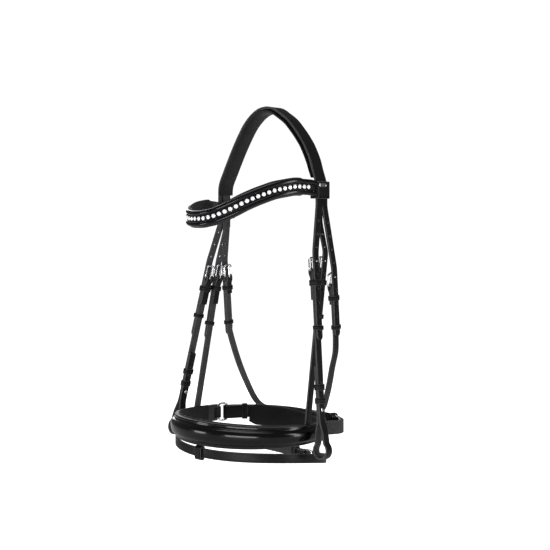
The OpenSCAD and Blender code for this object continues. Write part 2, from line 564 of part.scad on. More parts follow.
crown_strap();
crown_padding();
sliphead();
browband_leather();
browband_padding();
browband_rims();
crystal_cups();
crystals();
browband_badge();
left_cheek_strap();
left_cheek_frame();
left_cheek_tongue();
left_cheek_billet_tip();
left_cheek_fixed_keepers();
left_cheek_running_keeper();
left_cheek_hook_stud();
right_cheek_strap();
right_cheek_frame();
right_cheek_tongue();
right_cheek_billet_tip();
right_cheek_fixed_keepers();
right_cheek_running_keeper();
right_cheek_hook_stud();
left_hanger_strap();
left_hanger_frame();
left_hanger_tongue();
left_hanger_billet_tip();
left_hanger_fixed_keeper();
left_hanger_running_keeper();
right_hanger_strap();
right_hanger_frame();
right_hanger_tongue();
right_hanger_billet_tip();
right_hanger_fixed_keeper();
right_hanger_running_keeper();
nosepiece();
nosepiece_padding();
left_nose_ring();
right_nose_ring();
jaw_strap();
jaw_pad();
jaw_frame();
jaw_tongue();
jaw_keepers();
flash_loop();
flash_strap();
flash_frame();
flash_tongue();
flash_keeper();
throatlash_strap();
left_throat_frame();
left_throat_tongue();
left_throat_billet_tip();
left_throat_running_keeper();
right_throat_frame();
right_throat_tongue();
right_throat_billet_tip();
right_throat_running_keeper();
throatlash_fixed_keepers();
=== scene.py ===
"""Snaffle bridle: leather straps, padding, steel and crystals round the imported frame.

Lengths are in millimetres in the row frame until mesh() turns them into metres.
Left-side pieces are built on +X, and right-side ones are mirrored from there.
"""
import math

import bmesh
import bpy
import numpy as np
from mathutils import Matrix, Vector


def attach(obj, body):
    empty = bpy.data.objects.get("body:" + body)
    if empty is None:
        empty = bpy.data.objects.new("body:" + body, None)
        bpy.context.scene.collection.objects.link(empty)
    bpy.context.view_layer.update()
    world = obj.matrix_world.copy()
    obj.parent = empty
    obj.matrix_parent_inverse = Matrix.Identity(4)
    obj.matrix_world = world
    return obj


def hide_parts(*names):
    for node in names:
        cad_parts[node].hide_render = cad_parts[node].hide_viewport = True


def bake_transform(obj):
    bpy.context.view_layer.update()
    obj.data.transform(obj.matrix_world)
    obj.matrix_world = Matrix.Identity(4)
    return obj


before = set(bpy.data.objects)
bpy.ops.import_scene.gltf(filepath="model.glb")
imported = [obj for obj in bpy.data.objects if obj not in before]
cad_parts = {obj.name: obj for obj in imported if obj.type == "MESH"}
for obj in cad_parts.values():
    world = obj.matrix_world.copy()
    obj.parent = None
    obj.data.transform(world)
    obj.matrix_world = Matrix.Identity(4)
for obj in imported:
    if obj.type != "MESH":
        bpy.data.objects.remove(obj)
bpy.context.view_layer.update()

# ---------- driving sizes ----------
BUCKLE_Z = {"left": -223.0, "right": -240.0}
THROAT_Z = {"left": -246.0, "right": -240.0}
CHEEK_W, HANGER_W, THROAT_W, FLASH_W, JAW_W = 13.0, 12.0, 12.0, 13.0, 19.5
STRAP_T, BILLET_T, WIRE, FRAME_L = 2.6, 2.8, 2.4, 17.0
BAR_Z = -(STRAP_T / 2 + 0.1 + WIRE / 2)
BILLET_Z = STRAP_T / 2 + 0.25 + BILLET_T / 2
PLY_Z = -(STRAP_T + 0.15)
INSIDE = PLY_Z - STRAP_T / 2           # inner face of a strap's return ply
UNDER = INSIDE - 0.2                   # inner level of a keeper round both plies
OVER = BILLET_Z + BILLET_T / 2 + 0.15  # outer level of a keeper round a billet
FLEX_X = -FRAME_L - 7                  # where a billet bends
PEG_X = -12.6
HOLE_PITCH, HOLE_D, HOLES_UP = 19.0, 3.9, 5  # a billet has at most HOLES_UP holes above the peg
CROWN_W, CROWN_T, SLIP_W, SLIP_T = 25.0, 3.0, 12.0, 2.3
LEG_X = 88.6
CROWN_D, SLIP_D = 3.6, 0.35  # how far outward of the arch's centre each of the two lies
NOSE_RX, NOSE_RY, NOSE_Y = 106.0, 104.0, -44.0
NOSE_BOTTOM, NOSE_H, NOSE_END_H = -455.5, 32.5, 24.5
JAW_Z, FLASH_Z, FLASH_A = -443.8, -478.0, 172.0
BROW_RX, BROW_RY, BROW_H = 92.0, 142.0, 22.0
BROW_END, BROW_N = 84, 141  # the band's end angle and its stations
BIT_LOOP_R = 10.8
LOOP_X, LOOP_Z = 89.7, {1: -112.0, -1: -139.5}  # browband loops, left (1) and right (-1)
CRYSTAL_N, CRYSTAL_D, CRYSTAL_END = 41, 5.4, 78
STITCH, STITCH_PITCH, STITCH_IN = (2.3, 0.62, 0.5), 3.4, 1.9  # length, width, height; inset
SLOT_W = 3.8  # slot for a buckle tongue
KEEPER_L, KEEPER_WALL = 8, 1.25
# Where each billet leaves the crown, and how far past the buckle its tip reaches
BILLET_TOP = {"left": -134, "right": -158}
SLIP_TOP = {"left": -156, "right": -170}
REACH = {"left": {"cheek": 118, "hanger": 112, "throat": 94},
         "right": {"cheek": 112, "hanger": 116, "throat": 112}}
# Where each running keeper sits
SLIDE_X = {"left": {"cheek": 78, "hanger": 64, "throat": 58},
           "right": {"cheek": 58, "hanger": 70, "throat": 70}}


# ---------- vectors and curves ----------
def vec(*a):
    return np.array(a, float)


def unit(v):
    v = np.asarray(v, float)
    return v / np.linalg.norm(v, axis=-1, keepdims=True)


class Frame:
    """A place on the object: x along a strap, y across it, z outward."""

    def __init__(self, p, t, out=(1, 0, 0)):
        self.p = vec(*p)
        self.x = unit(t)
        self.y = unit(np.cross(out, self.x))
        self.z = np.cross(self.x, self.y)

    def at(self, x, y=0.0, z=0.0):
        return self.p + self.x * x + self.y * y + self.z * z

    def path(self, pts):
        """Points given as (x, z) in the frame."""
        return np.array([self.at(a, 0, b) for a, b in pts])


def smooth(pts, step=2.0):
    """Smooth curve through pts, sampled about every step millimetres."""
    p = np.asarray(pts, float)
    out = []
    n = len(p) - 1
    for i in range(n):
        a, b, c, d = p[max(i - 1, 0)], p[i], p[i + 1], p[min(i + 2, n)]
        k = max(1, int(np.linalg.norm((c - b)[:3]) / step))
        for j in range(k):
            f = j / k
            out.append(0.5 * (2 * b + (c - a) * f + (2 * a - 5 * b + 4 * c - d) * f * f
                              + (3 * b - a - 3 * c + d) * f ** 3))
    out.append(p[-1])
    return np.array(out)


def arc(c, r, a, b, n):
    """n + 1 points of a circle about c, from a to b degrees."""
    g = np.radians(np.linspace(a, b, n + 1))
    return [(c[0] + r * math.cos(v), c[1] + r * math.sin(v)) for v in g]


def lengths(p):
    """Length along p at each of its points."""
    return np.concatenate([[0], np.cumsum(np.linalg.norm(np.diff(p, axis=0), axis=1))])


def resample(p, step, closed=False):
    """Evenly spaced points along p."""
    if closed:
        p = np.vstack([p, p[:1]])
    s = lengths(p)
    n = max(2, int(round(s[-1] / step)))
    t = np.linspace(0, s[-1], n + 1)
    q = np.column_stack([np.interp(t, s, p[:, k]) for k in range(p.shape[1])])
    return q[:-1] if closed else q


# ---------- materials ----------
def material(name, base, rough, metallic=0.0, spec=0.5, coat=0.0, coat_rough=0.1, sheen=0.0,
             grain=0.0, grain_scale=900.0, bump=0.12, tint=0.25, var=0.08, ior=1.5,
             painted_glow=0.0):
    """Principled material with colour variation, roughness variation, grain and an optional
    painted glow: emission that paints light into the surface.
    """
    m = bpy.data.materials.new(name)
    m.use_nodes = True
    nt = m.node_tree
    b = nt.nodes["Principled BSDF"]
    b.inputs["Metallic"].default_value = metallic
    b.inputs["Specular IOR Level"].default_value = spec
    b.inputs["Coat Weight"].default_value = coat
    b.inputs["Coat Roughness"].default_value = coat_rough
    b.inputs["Sheen Weight"].default_value = sheen
    b.inputs["IOR"].default_value = ior
    # Emission is a painted glow, light painted into the surface in a cool white; it stays off for
    # materials made without it.
    b.inputs["Emission Color"].default_value = (0.95, 0.97, 1.0, 1)
    b.inputs["Emission Strength"].default_value = painted_glow
    new, link = nt.nodes.new, nt.links.new
    co = new("ShaderNodeTexCoord")
    patch = new("ShaderNodeTexNoise")
    patch.inputs["Scale"].default_value = 42.0
    patch.inputs["Detail"].default_value = 5.0
    link(co.outputs["Object"], patch.inputs["Vector"])
    ramp = new("ShaderNodeValToRGB")
    ramp.color_ramp.elements[0].position = 0.3
    ramp.color_ramp.elements[1].position = 0.7
    ramp.color_ramp.elements[0].color = (*[c * (1 - tint) for c in base], 1)
    ramp.color_ramp.elements[1].color = (*[min(1, c * (1 + tint)) for c in base], 1)
    link(patch.outputs["Fac"], ramp.inputs["Fac"])
    link(ramp.outputs["Color"], b.inputs["Base Color"])
    fine = new("ShaderNodeTexNoise")
    fine.inputs["Scale"].default_value = 260.0
    fine.inputs["Detail"].default_value = 3.0
    link(co.outputs["Object"], fine.inputs["Vector"])
    span = new("ShaderNodeMapRange")
    span.inputs["To Min"].default_value = max(0.02, rough - var)
    span.inputs["To Max"].default_value = min(1.0, rough + var)
    link(fine.outputs["Fac"], span.inputs["Value"])
    link(span.outputs["Result"], b.inputs["Roughness"])
    if grain:
        cells = new("ShaderNodeTexVoronoi")
        cells.feature = "DISTANCE_TO_EDGE"
        cells.inputs["Scale"].default_value = grain_scale
        warp = new("ShaderNodeTexNoise")
        warp.inputs["Scale"].default_value = grain_scale * 0.35
        mix = new("ShaderNodeMixRGB")
        mix.inputs["Fac"].default_value = 0.003
        link(co.outputs["Object"], warp.inputs["Vector"])
        link(co.outputs["Object"], mix.inputs["Color1"])
        link(warp.outputs["Color"], mix.inputs["Color2"])
        link(mix.outputs["Color"], cells.inputs["Vector"])
        clip = new("ShaderNodeMapRange")
        clip.inputs["From Max"].default_value = 0.35
        link(cells.outputs["Distance"], clip.inputs["Value"])
        bp = new("ShaderNodeBump")
        bp.inputs["Strength"].default_value = grain
        bp.inputs["Distance"].default_value = bump / 1000
        link(clip.outputs["Result"], bp.inputs["Height"])
        link(bp.outputs["Normal"], b.inputs["Normal"])
    return m


LEATHER = material("bridle_leather", (0.0055, 0.005, 0.0058), 0.42, grain=0.35, spec=0.22)
EDGE = material("leather_edge", (0.055, 0.053, 0.058), 0.5, grain=0.3, grain_scale=1500, spec=0.4)
FLESH = material("leather_flesh_side", (0.032, 0.030, 0.033), 0.75, grain=0.5, grain_scale=1400,
                 bump=0.25, tint=0.4, sheen=0.15)
GLOSSY = material("polished_leather", (0.003, 0.003, 0.0035), 0.2, grain=0.1, grain_scale=700,
                  bump=0.05, spec=0.2, coat=0.3, coat_rough=0.05, var=0.04)
PADDING = material("padding_leather", (0.009, 0.0085, 0.0095), 0.66, spec=0.25, grain=0.6,
                   grain_scale=1100, bump=0.22, tint=0.35, sheen=0.1)
PIPING = material("padding_rim", (0.013, 0.0125, 0.0135), 0.5, spec=0.3, grain=0.4,
                  grain_scale=1100)
STEEL = material("polished_steel", (0.80, 0.80, 0.82), 0.13, metallic=1.0, tint=0.06, var=0.05,
                 grain=0.04, grain_scale=400, bump=0.03)
CUP = material("crystal_setting", (0.78, 0.78, 0.80), 0.16, metallic=1.0, tint=0.05, var=0.05)
# The crystals glow: their emission paints sparkle onto them as light of their own.
CRYSTAL = material("cut_crystal_painted_glow", (0.93, 0.94, 0.97), 0.04, spec=1.0, ior=1.9, coat=1.0,
                   coat_rough=0.02, tint=0.05, var=0.02, painted_glow=0.42)
THREAD = material("waxed_thread", (0.045, 0.044, 0.047), 0.55, grain=0.6, grain_scale=3000)
STRAP_MATS = [LEATHER, EDGE, FLESH]


# ---------- meshes ----------
def mesh(name, verts, faces, mats, zones=None, mir=False, sharp=50.0):
    """New object from vertices in millimetres, with smooth faces and sharp edges over an angle."""
    v = np.asarray(verts, float) / 1000.0
    if mir:
        v = v * [-1, 1, 1]
    me = bpy.data.meshes.new(name)
    me.from_pydata(v.tolist(), [], [tuple(int(i) for i in f) for f in faces])
    for m in mats:
        me.materials.append(m)
    if zones is not None:
        me.polygons.foreach_set("material_index", list(zones))
    bm = bmesh.new()
    bm.from_mesh(me)
    bmesh.ops.remove_doubles(bm, verts=bm.verts, dist=1e-6)
    bmesh.ops.recalc_face_normals(bm, faces=bm.faces)
    for f in bm.faces:
        f.smooth = True
    limit = math.radians(sharp)
    for e in bm.edges:
        if len(e.link_faces) == 2 and e.calc_face_angle(0) > limit:
            e.smooth = False
    bm.to_mesh(me)
    bm.free()
    o = bpy.data.objects.new(name, me)
    bpy.context.scene.collection.objects.link(o)
    return o


def sweep(name, pts, up, sect, mats, zones=None, closed=False, scale=None, mir=False):
    """Solid that follows pts. sect is its outline as (across, outward) points.

    scale, if given, holds one (across, outward) factor for each point.
    """
    P = np.asarray(pts, float)
    n = len(P)
    up = np.broadcast_to(np.asarray(up, float), P.shape)
    if closed:
        T = unit(np.roll(P, -1, 0) - np.roll(P, 1, 0))
    else:
        T = unit(np.vstack([P[1] - P[0], P[2:] - P[:-2], P[-1] - P[-2]]))
    O = unit(np.cross(T, up))
    U = np.cross(O, T)
    S = np.asarray(sect, float)
    if S.ndim == 2:
        S = np.broadcast_to(S, (n,) + S.shape)
    if scale is not None:
        S = S * np.asarray(scale, float)[:, None, :]
    m = S.shape[1]
    V = (P[:, None, :] + U[:, None, :] * S[..., :1] + O[:, None, :] * S[..., 1:]).reshape(-1, 3)
    F, Z = [], []
    for i in range(n if closed else n - 1):
        a, b = i * m, ((i + 1) % n) * m
        for j in range(m):
            k = (j + 1) % m
            F.append((a + j, a + k, b + k, b + j))
            Z.append(zones[j] if zones is not None else 0)
    if not closed:
        F += [tuple(range(m)), tuple((n - 1) * m + j for j in range(m))]
        Z += [1 if zones is not None else 0] * 2
    return mesh(name, V, F, mats, Z if zones is not None else None, mir)


def strap_section(w, t, crease=True, r=0.95):
    """Leather strap section with rounded edges and a crease by each edge: outline and zones."""
    r = min(r, t * 0.42)
    h, v = w / 2, t / 2
    out, zone = [], []

    def add(u, o, z):
        out.append((u, o))
        zone.append(z)
    for k in range(5):  # inner corner at -h, then outer corner
        g = math.radians(270 - 22.5 * k)
        add(-h + r + r * math.cos(g), -v + r + r * math.sin(g), 1)
    for k in range(5):
        g = math.radians(180 - 22.5 * k)
        add(-h + r + r * math.cos(g), v - r + r * math.sin(g), 1 if k < 4 else 0)
    if crease:
        for s in (-1, 1):
            for d, z in ((0.55, 0), (0.0, -0.2), (-0.55, 0)):
                d = d if s > 0 else -d
                add(s * (h - 1.9) - d, v + z, 0)
    for k in range(5):
        g = math.radians(90 - 22.5 * k)
        add(h - r + r * math.cos(g), v - r + r * math.sin(g), 1)
    for k in range(5):
        g = math.radians(0 - 22.5 * k)
        add(h - r + r * math.cos(g), -v + r + r * math.sin(g), 1 if k < 4 else 2)
    return out, zone


def round_tip(pts, w, both=False, least=0.003):
    """Across factors that round a strap's end, and the same at its start if both."""
    s = lengths(pts)
    f = np.ones(len(s))
    for d in [s[-1] - s] + ([s] if both else []):
        e = d < w / 2
        f[e] = np.minimum(f[e], np.sqrt(np.maximum(1 - (1 - d[e] / (w / 2)) ** 2, least)))
    return np.column_stack([f, np.ones(len(s))])


def fine_end(pts, w):
    """pts with closer stations over the last half width, for a rounded tip."""
    s = lengths(pts)
    keep = pts[s < s[-1] - w / 2]
    d = w / 2 * (1 - np.sin(np.linspace(0, math.pi / 2, 9)))
    t = s[-1] - d
    tail = np.column_stack([np.interp(t, s, pts[:, k]) for k in range(pts.shape[1])])
    return np.vstack([keep, tail])


def cut(obj, cutter):
    """Takes the solid cutter out of obj, and removes cutter."""
    mod = obj.modifiers.new("cut", "BOOLEAN")
    mod.object = cutter
    mod.operation = "DIFFERENCE"
    mod.solver = "EXACT"
    bpy.context.view_layer.update()
    graph = bpy.context.evaluated_depsgraph_get()
    done = bpy.data.meshes.new_from_object(obj.evaluated_get(graph))
    obj.modifiers.clear()
    obj.data = done
    bpy.data.objects.remove(cutter)


def punch(obj, spots, d, mir=False, reach=7.0):
    """Cuts round holes at spots, each (point, direction), through obj."""
    V, F = [], []
    n = 14
    for p, axis in spots:
        p, axis = vec(*p), unit(axis)
        a = unit(np.cross(axis, [0.3, 0.7, 0.2]))
        b = np.cross(axis, a)
        i0 = len(V)
        for s in (-reach, reach):
            for k in range(n):
                g = 2 * math.pi * k / n
                V.append(p + axis * s + (a * math.cos(g) + b * math.sin(g)) * d / 2)
        F += [tuple(i0 + k for k in range(n)), tuple(i0 + n + k for k in range(n))]
        F += [(i0 + k, i0 + (k + 1) % n, i0 + n + (k + 1) % n, i0 + n + k) for k in range(n)]
    cut(obj, mesh("cutter", V, F, [EDGE], mir=mir))


def tube(name, pts, r, mats, closed=False, n=14, mir=False, flat=1.0):
    """Round wire along pts; r is one radius or one for each point."""
    P = np.asarray(pts, float)
    m = len(P)
    R = np.broadcast_to(np.asarray(r, float), (m,))
    if closed:
        T = unit(np.roll(P, -1, 0) - np.roll(P, 1, 0))
    else:
        T = unit(np.vstack([P[1] - P[0], P[2:] - P[:-2], P[-1] - P[-2]]))
    q = P[m // 3] - P[0]
    normal = np.cross(q, P[(2 * m) // 3] - P[0])
    if np.linalg.norm(normal) < 1e-6:
        normal = np.cross(q, [0.31, 0.52, 0.79])
    normal = unit(normal)
    B = unit(np.cross(T, normal))
    N = np.cross(B, T)
    V, F = [], []
    for i in range(m):
        for k in range(n):
            g = 2 * math.pi * k / n
            V.append(P[i] + R[i] * (B[i] * math.cos(g) + N[i] * math.sin(g) * flat))
    for i in range(m if closed else m - 1):
        a, b = i * n, ((i + 1) % m) * n
        F += [(a + k, a + (k + 1) % n, b + (k + 1) % n, b + k) for k in range(n)]
    if not closed:
        F += [tuple(range(n)), tuple((m - 1) * n + k for k in range(n))]
    return mesh(name, V, F, mats, mir=mir, sharp=70)


def rounded_box(w, h, r, n=5):
    """Closed outline of a rounded rectangle, w by h, in its own plane."""
    pts = []
    for cx, cy, a in ((w / 2 - r, h / 2 - r, 0), (-w / 2 + r, h / 2 - r, 90),
                      (-w / 2 + r, -h / 2 + r, 180), (w / 2 - r, -h / 2 + r, 270)):
        for k in range(n + 1):
            g = math.radians(a + 90 * k / n)
            pts.append((cx + r * math.cos(g), cy + r * math.sin(g)))
    return np.array(pts)


def join(name, parts):
    """One object from several."""
    bm = bmesh.new()
    mats = []
    for p in parts:
        for m in p.data.materials:
            if m not in mats:
                mats.append(m)
    out = bpy.data.meshes.new(name)
    for p in parts:
        start = len(bm.faces)
        bm.from_mesh(p.data)
        bm.faces.ensure_lookup_table()
        remap = [mats.index(m) for m in p.data.materials]
        for f in bm.faces[start:]:
            f.material_index = remap[f.material_index] if remap else 0
    bm.to_mesh(out)
    bm.free()
    for m in mats:
        out.materials.append(m)
    for p in parts:
        bpy.data.objects.remove(p)
    o = bpy.data.objects.new(name, out)
    bpy.context.scene.collection.objects.link(o)
    return o


def stitches(name, lines, mir=False):
    """Thread stitches along lines; each line is (points, outward directions)."""
    V, F = [], []
    l, w, h = STITCH
    ring = [(-0.5, 0.25), (-0.36, 0.8), (0, 1.0), (0.36, 0.8), (0.5, 0.25)]
    for pts, out in lines:
        pts = np.asarray(pts, float)
        out = np.broadcast_to(np.asarray(out, float), pts.shape)
        q = resample(np.hstack([pts, out]), STITCH_PITCH)
        for i in range(len(q) - 1):
            c = (q[i, :3] + q[i + 1, :3]) / 2
            t = unit(q[i + 1, :3] - q[i, :3])
            o = unit((q[i, 3:] + q[i + 1, 3:]) / 2)
            s = unit(np.cross(o, t))
            i0 = len(V)
            for f, g in ring:
                for k in range(6):
                    a = math.pi * 2 * k / 6
                    V.append(c + t * f * l + s * math.cos(a) * w / 2 * g
                             + o * math.sin(a) * h / 2 * g)
            for r in range(4):
                F += [(i0 + r * 6 + k, i0 + r * 6 + (k + 1) % 6, i0 + r * 6 + 6 + (k + 1) % 6,
                       i0 + r * 6 + 6 + k) for k in range(6)]
            F += [tuple(i0 + k for k in range(6)), tuple(i0 + 24 + k for k in range(6))]
    return mesh(name, V, F, [THREAD], mir=mir, sharp=80)


def give(obj, body, *nodes, ride=True):
    """Rides obj on body and hides the CAD nodes it stands for."""
    if ride:
        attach(obj, body)
    if nodes:
        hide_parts(*nodes)
    return obj


def metres(p, mir=False):
    """Millimetres on the left side as metres, mirrored if asked."""
    return tuple(float(v) / 1000 * (-1 if mir and i == 0 else 1) for i, v in enumerate(p))


# ---------- where the straps hang, on the left ----------
def bit_point(side):
    """Foot of the bit loop."""
    return vec(135, -51 if side == "left" else -63, -471)


def cheek_frame(side):
    p = vec(101, -27, BUCKLE_Z[side])
    return Frame(p, bit_point(side) - p)


def cheek_length(side):
    return float(np.linalg.norm(bit_point(side) - vec(101, -27, BUCKLE_Z[side])))


NOSE_POINT = vec(104.4, -50, -450)


def hanger_frame(side):
    p = vec(99, -7.5, BUCKLE_Z[side])
    return Frame(p, NOSE_POINT - p)


def hanger_length(side):
    return float(np.linalg.norm(NOSE_POINT - vec(99, -7.5, BUCKLE_Z[side])))


def throat_frame(side):
    return Frame((101, 15.5, THROAT_Z[side]), (0, 0.08, -1))


def fold_top(reach=40.0):
    """Side view of a strap folded round a buckle bar, return ply first."""
    r = STRAP_T / 2 + WIRE / 2 + 0.1
    return ([(reach, PLY_Z), (24, PLY_Z), (12, PLY_Z), (8.5, PLY_Z - 0.4), (5, BAR_Z - 2.3)]
            + arc((0, BAR_Z), r, -84, -276, 14) + [(5, -0.03), (9, 0)])


# (x, z) of the crown stack's centre from the poll down each leg; the left one stands rounder
ARCH = [(0, 5), (12, 3.2), (24, -3), (37, -14.5), (47.5, -28.5), (59.5, -48), (71, -69),
        (79, -84.5), (84.2, -94.5), (87.2, -102), (88.5, -109), (LEG_X, -124), (LEG_X, -140),
        (LEG_X, -160), (LEG_X, -180)]
NEAR_ARCH = [(0, 5), (12, 2.6), (24, -4.5), (38, -14.5), (51, -28.5), (59, -38.5), (67, -50),
             (76.5, -69), (81.5, -84.5), (85, -94.5), (87.4, -102), (88.5, -109)] + ARCH[11:]
HALF_ARCH, NEAR_HALF = smooth(ARCH, 2.0), smooth(NEAR_ARCH, 2.0)


def shifted(p, d):
    """Curve in (x, z) moved d outward."""
    t = unit(np.vstack([p[1] - p[0], p[2:] - p[:-2], p[-1] - p[-2]]))
    return p + np.column_stack([-t[:, 1], t[:, 0]]) * d


def over_poll(d, right, left):
    """Points (x, 0, z) from the right leg at that height over the poll to the left, d outward."""
    a, b = shifted(HALF_ARCH, d), shifted(NEAR_HALF, d)
    a, b = a[a[:, 1] >= right], b[b[:, 1] >= left]
    full = np.vstack([a[::-1] * [-1, 1], b[1:]])
    return np.column_stack([full[:, 0], np.zeros(len(full)), full[:, 1]])


def eased(pts, passes=3, out=2.0):
    """Polyline with its corners rounded off, at an even spacing."""
    p = resample(np.asarray(pts, float), 1.0)
    for _ in range(passes):
        p[1:-1] = (p[:-2] + 2 * p[1:-1] + p[2:]) / 4
    s = lengths(p)
    turn = np.zeros(len(p))
    d = unit(np.diff(p, axis=0))
    turn[1:-1] = np.linalg.norm(np.diff(d, axis=0), axis=1)
    cost = np.concatenate([[0], np.cumsum(np.diff(s) / out + (turn[1:] + turn[:-1]) * 1.6)])
    t = np.linspace(0, cost[-1], max(3, int(cost[-1])))
    k = np.interp(t, cost, s)
    return np.column_stack([np.interp(k, s, p[:, j]) for j in range(p.shape[1])])


def strap(name, pts, up, w, t, tip=False, both=False, mir=False, out=2.0, passes=3):
    """Leather strap along pts, with its tip rounded if asked, or both its ends."""
    p = eased(pts, passes, out=out)
    if tip:
        p = fine_end(p, w)
    if both:
        p = fine_end(p[::-1], w)[::-1]
    sect, zone = strap_section(w, t)
    return sweep(name, p, up, sect, STRAP_MATS, zone, mir=mir,
                 scale=round_tip(p, w, both) if tip else None)


def cut_slot(obj, f, top=12.0, mir=False):
    """Cuts the slot for a buckle tongue through the strap folded at frame f."""
    x0, x1, w = -8, 5, SLOT_W
    V = [f.at(x, y, z) for z in (-12.0, top) for x, y in
         ((x0, -w / 2), (x1, -w / 2), (x1, w / 2), (x0, w / 2))]
    F = [(0, 1, 2, 3), (4, 5, 6, 7), (0, 1, 5, 4), (1, 2, 6, 5), (2, 3, 7, 6), (3, 0, 4, 7)]
    cut(obj, mesh("cutter", V, F, [EDGE], mir=mir))


def along(pts, s):
    """Point and direction at length s along pts."""
    q = lengths(pts)
    p = np.array([np.interp(s, q, pts[:, k]) for k in range(3)])
    a = np.array([np.interp(s - 1, q, pts[:, k]) for k in range(3)])
    b = np.array([np.interp(s + 1, q, pts[:, k]) for k in range(3)])
    return p, unit(b - a)


def turned(name, f, profile, mats, n=24, mir=False, x=0.0, sharp=50.0, spin=0.0):
    """Solid of revolution about f's z, from (radius, z) points."""
    V, F = [], []
    for r, z in profile:
        for k in range(n):
            g = 2 * math.pi * (k + spin) / n
            V.append(f.at(x + r * math.cos(g), r * math.sin(g), z))
    m = len(profile)
    for i in range(m - 1):
        F += [(i * n + k, i * n + (k + 1) % n, (i + 1) * n + (k + 1) % n, (i + 1) * n + k)
              for k in range(n)]
    F += [tuple(range(n)), tuple((m - 1) * n + k for k in range(n))]
    return mesh(name, V, F, mats, mir=mir, sharp=sharp)


def keeper(name, f, x, w, a, b, l, wall=1.5, mir=False):
    """Leather band round plies that lie from a to b outward."""
    q = rounded_box(w + 0.6 + wall, b - a + wall, 1.7, 5)
    p = np.array([f.at(x, u, v + (a + b) / 2) for u, v in q])
    p = resample(p, 1.3, True)
    sect, zone = strap_section(l, wall, r=0.6)
    return sweep(name, p, f.x, sect, STRAP_MATS, zone, closed=True, mir=mir)


def buckle_frame(name, f, w, mir=False):
    """Round wire frame with an arched far bar."""
    h = w + 0.4 + WIRE
    q = rounded_box(FRAME_L, h, 3.0, 6)
    q = resample(q, 1.1, True)
    pts = []
    for u, v in q:
        far = max(0.0, -u / (FRAME_L / 2))
        pts.append(f.at(u - FRAME_L / 2 - 1.1 * far ** 3 * math.cos(math.pi * v / h), v, BAR_Z))
    return tube(name, pts, WIRE / 2, [STEEL], closed=True, n=16, mir=mir)


def buckle_tongue(name, f, mir=False):
    """Tongue bent round the heel bar, with a peg out through the billet's hole."""
    shank = arc((0, BAR_Z), 2.35, 188, -90, 18)
    shank += [(-4, BAR_Z - 2.35), (-10, BAR_Z - 2.3), (-15, BAR_Z - 2.25), (-18.2, BAR_Z - 2.2),
              (-18.8, BAR_Z - 2.2)]
    r = [0.9] * (len(shank) - 2) + [0.8, 0.35]
    a = tube(name + "_shank", f.path(shank), r, [STEEL], n=12, mir=mir, flat=1.45)
    top = BILLET_Z + BILLET_T / 2 + 0.2
    b = turned(name + "_peg", f, [(1.15, BAR_Z - 2.3), (1.1, top - 0.9), (1.0, top - 0.35),
                                  (0.7, top), (0.25, top + 0.12)], [STEEL], 16, mir, x=PEG_X)
    return join(name, [a, b])


def cushion(w, inner, outer, power=2.6):
    """Padded section, w across: flat outside at outer, full and rounded to inner."""
    pts, zone, n = [], [], 28
    for k in range(n + 1):
        g = math.pi * k / n
        c, s = math.cos(g), math.sin(g)
        u = -w / 2 * np.sign(c) * abs(c) ** (2 / power)
        pts.append((u, outer + (inner - outer) * abs(s) ** (2 / power)))
        zone.append(1 if k < 2 or k >= n - 2 else 0)
    return pts, zone


# ---------- crown, sliphead and padding ----------
crown_path = over_poll(CROWN_D, -166, -140)
sect, zone = strap_section(CROWN_W, CROWN_T)
give(sweep("crown_leather", crown_path, (0, 1, 0), sect, STRAP_MATS, zone), "headpiece",
     "crown_strap")
sect, zone = strap_section(SLIP_W, SLIP_T)
give(sweep("sliphead_leather", over_poll(SLIP_D, -173, -159), (0, 1, 0), sect, STRAP_MATS,
           zone), "headpiece", "sliphead")
stitch_path = over_poll(CROWN_D + CROWN_T / 2 + 0.02, -120, -96)
out = np.cross(unit(np.gradient(stitch_path, axis=0)), [0, 1, 0])
lines = [(stitch_path + [0, s * (CROWN_W / 2 - STITCH_IN), 0], out) for s in (-1, 1)]
give(stitches("crown_stitches", lines), "headpiece")

pad_path = over_poll(0.0, -119, -95)
pl = lengths(pad_path)
V, Z = [], []
for s in pl:
    c = 1 - abs(2 * s / pl[-1] - 1)
    e = min(1, 0.3 + 4 * c) * (1 if c > 0.02 else 0.75)
    q, z = cushion(28.0 + 3 * c * c, -0.5 - 4.6 * e, -0.9)
    V.append(q)
crown_pad = sweep("crown_padding_soft", pad_path, (0, 1, 0), np.array(V), [PADDING, PIPING], z)
give(crown_pad, "headpiece", "crown_padding")

# ---------- browband ----------
# Height of the browband at each angle from the front
BROW_Z = [(-90, -139.5), (-80, -137), (-72, -136), (-60, -139), (-45, -144.5), (-37, -147),
          (-28, -149.6), (-14, -152), (0, -152), (11, -148.8), (20, -143), (27.6, -136.8),
          (35, -129.5), (43, -122.6), (55, -113.6), (69, -108), (80, -108.6), (90, -112)]


def brow_point(a):
    """Middle of the browband at an angle from the front."""
    g = math.radians(a)
    z = np.interp(a, [q[0] for q in BROW_Z], [q[1] for q in BROW_Z])
    return vec(BROW_RX * math.sin(g), -BROW_RY * math.cos(g), z)


brow_angles = np.linspace(-BROW_END, BROW_END, BROW_N)
brow = np.array([brow_point(a) for a in brow_angles])
for _ in range(4):
    brow[1:-1] = (brow[:-2] + 2 * brow[1:-1] + brow[2:]) / 4
sect, zone = strap_section(BROW_H, 2.6, crease=False)
band = sweep("browband_strip", brow, (0, 0, 1), sect, STRAP_MATS, zone)
loops = []
for s in (-1, 1):
    q = resample(rounded_box(12.8, 28.9, 3.2, 6), 1.5, True)
    p = np.array([(s * LOOP_X + u, v, LOOP_Z[s]) for u, v in q])
    sect, zone = strap_section(24.0, 1.9)
    loops.append(sweep("loop", p, (0, 0, 1), sect, STRAP_MATS, zone, closed=True))
give(join("browband_band", [band] + loops), "browband", "browband_leather")

